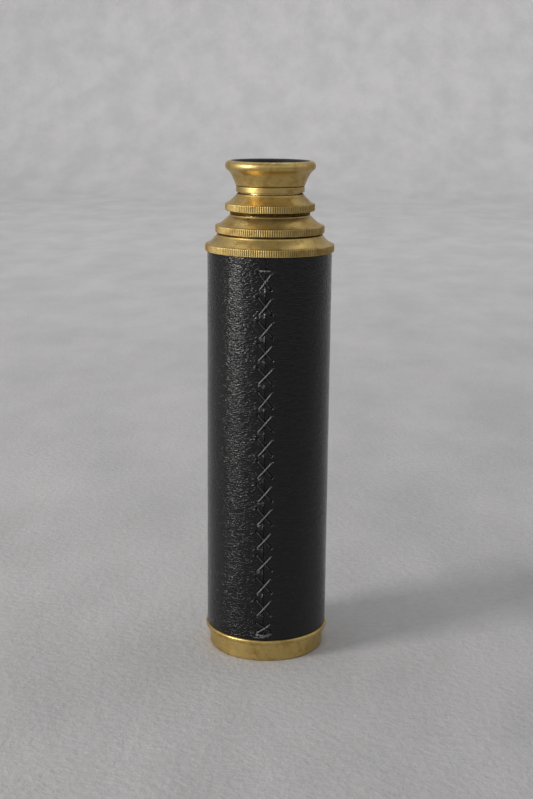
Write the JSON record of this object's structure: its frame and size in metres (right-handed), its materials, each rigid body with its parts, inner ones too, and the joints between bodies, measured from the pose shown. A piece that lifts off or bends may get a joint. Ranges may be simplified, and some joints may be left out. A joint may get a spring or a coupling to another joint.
{
  "type": "draw telescope",
  "caption": "Brass pocket draw telescope with laced black leather cover, knurled collars and flared eyecup; the draws slide out of the barrel.",
  "frame": {"origin": "centre of the objective's rim, on the surface that the collapsed telescope stands on", "axes": "+Z along the optical axis towards the eyecup; the laced seam of the leather runs down the -Y side"},
  "size_m": [0.0414, 0.0414, 0.1621],
  "materials": {
    "leather": "black pebbled leather, semi-gloss",
    "thread": "waxed black thread",
    "aged_brass": "polished brass with light tarnish and handling wear",
    "polished_brass": "drawn and polished brass tube",
    "inner_brass": "turned brass, dull",
    "blackened_brass": "matt black over brass",
    "optical_glass": "clear polished lens"
  },
  "bodies": {
    "barrel": {"barrel_tube": "inner_brass", "leather_cover": "leather", "seam_lacing": "thread", "lip_ring": "aged_brass", "objective_cell": "aged_brass", "objective_crown": "optical_glass", "objective_flint": "optical_glass", "objective_retainer": "inner_brass", "barrel_collar": "aged_brass", "barrel_spring_sleeve": "inner_brass"},
    "draw_1": {"draw_1_tube": "polished_brass", "draw_1_collar": "aged_brass", "draw_1_spring_sleeve": "inner_brass", "draw_1_stop_ring": "inner_brass", "draw_1_baffle": "blackened_brass"},
    "draw_2": {"draw_2_tube": "polished_brass", "draw_2_collar": "aged_brass", "draw_2_spring_sleeve": "inner_brass", "draw_2_stop_ring": "inner_brass", "draw_2_baffle": "blackened_brass"},
    "eye_draw": {"eye_tube": "polished_brass", "eye_stop_ring": "inner_brass", "erector_tube": "blackened_brass", "erector_front_lens": "optical_glass", "erector_rear_lens": "optical_glass", "erector_stop": "blackened_brass", "erector_retainers": "inner_brass", "eyepiece_tube": "blackened_brass", "field_lens": "optical_glass", "field_stop": "blackened_brass", "field_retainer": "inner_brass", "eye_lens": "optical_glass", "eye_lens_retainer": "inner_brass", "eyecup": "aged_brass", "eye_disc": "blackened_brass"}
  },
  "joints": [
    {"name": "draw_1_slide", "type": "slide", "parent": "barrel", "child": "draw_1", "axis": [0, 0, 1], "range_m": [0, 0.091]},
    {"name": "draw_2_slide", "type": "slide", "parent": "draw_1", "child": "draw_2", "axis": [0, 0, 1], "range_m": [0, 0.091]},
    {"name": "eye_draw_slide", "type": "slide", "parent": "draw_2", "child": "eye_draw", "axis": [0, 0, 1], "range_m": [0, 0.091]}
  ]
}
